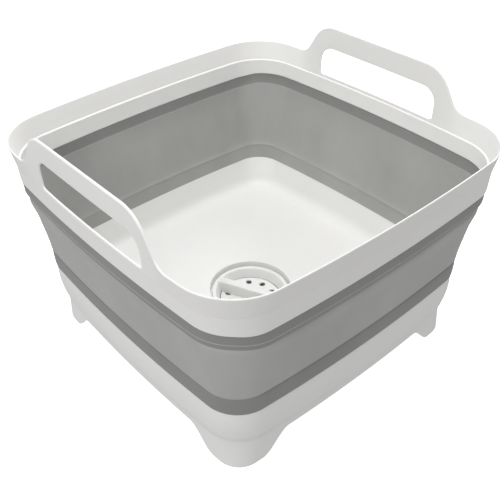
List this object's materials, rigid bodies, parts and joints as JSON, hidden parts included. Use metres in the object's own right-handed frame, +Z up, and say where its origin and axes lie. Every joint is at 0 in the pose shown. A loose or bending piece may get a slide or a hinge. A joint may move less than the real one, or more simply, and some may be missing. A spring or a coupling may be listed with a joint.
{
  "type": "collapsible wash tub",
  "caption": "Square folding wash tub with a white rim and two carry handles, grey rubber wall, footed base and lift-out drain strainer.",
  "frame": {"origin": "middle of the footprint, on the surface that the four feet stand on", "axes": "+Z up, -X and +X towards the two carry handles, -Y towards the viewer's right-hand side face"},
  "size_m": [0.2956, 0.3012, 0.2171],
  "materials": {
    "white_plastic": "satin moulded polypropylene",
    "grey_wall": "smooth matte thermoplastic rubber",
    "dark_rubber": "matte soft rubber"
  },
  "bodies": {
    "base": {"wash_basin": "white_plastic", "foot_skirt": "white_plastic", "drain_well": "white_plastic", "wall_lower_band": "grey_wall"},
    "fold_1": {"wall_fold_1": "grey_wall"},
    "fold_2": {"wall_fold_2": "grey_wall"},
    "fold_3": {"wall_fold_3": "grey_wall"},
    "fold_4": {"wall_fold_4": "grey_wall"},
    "rim": {"rim_frame": "white_plastic", "wall_upper_band": "grey_wall"},
    "stopper": {"drain_stopper": "dark_rubber"},
    "strainer": {"strainer_basket": "white_plastic"}
  },
  "joints": [
    {"name": "collapse", "type": "slide", "parent": "base", "child": "rim", "axis": [0, 0, -1], "range_m": [0, 0.104]},
    {"name": "fold_1_slide", "type": "slide", "parent": "base", "child": "fold_1", "axis": [0, 0, -1], "range_m": [0, 0.021]},
    {"name": "fold_2_slide", "type": "slide", "parent": "base", "child": "fold_2", "axis": [0, 0, -1], "range_m": [0, 0.0418]},
    {"name": "fold_3_slide", "type": "slide", "parent": "base", "child": "fold_3", "axis": [0, 0, -1], "range_m": [0, 0.0626]},
    {"name": "fold_4_slide", "type": "slide", "parent": "base", "child": "fold_4", "axis": [0, 0, -1], "range_m": [0, 0.0834]},
    {"name": "drain_lift", "type": "slide", "parent": "base", "child": "stopper", "axis": [0, 0, 1], "range_m": [0, 0.045]},
    {"name": "strainer_turn", "type": "hinge", "parent": "stopper", "child": "strainer", "pos_m": [0, 0, 0.0305], "axis": [0, 0, 1], "continuous": true}
  ],
  "couplings": [
    {"joint": "fold_1_slide", "follows": "collapse", "ratio": 0.2},
    {"joint": "fold_2_slide", "follows": "collapse", "ratio": 0.4},
    {"joint": "fold_3_slide", "follows": "collapse", "ratio": 0.6},
    {"joint": "fold_4_slide", "follows": "collapse", "ratio": 0.8}
  ]
}
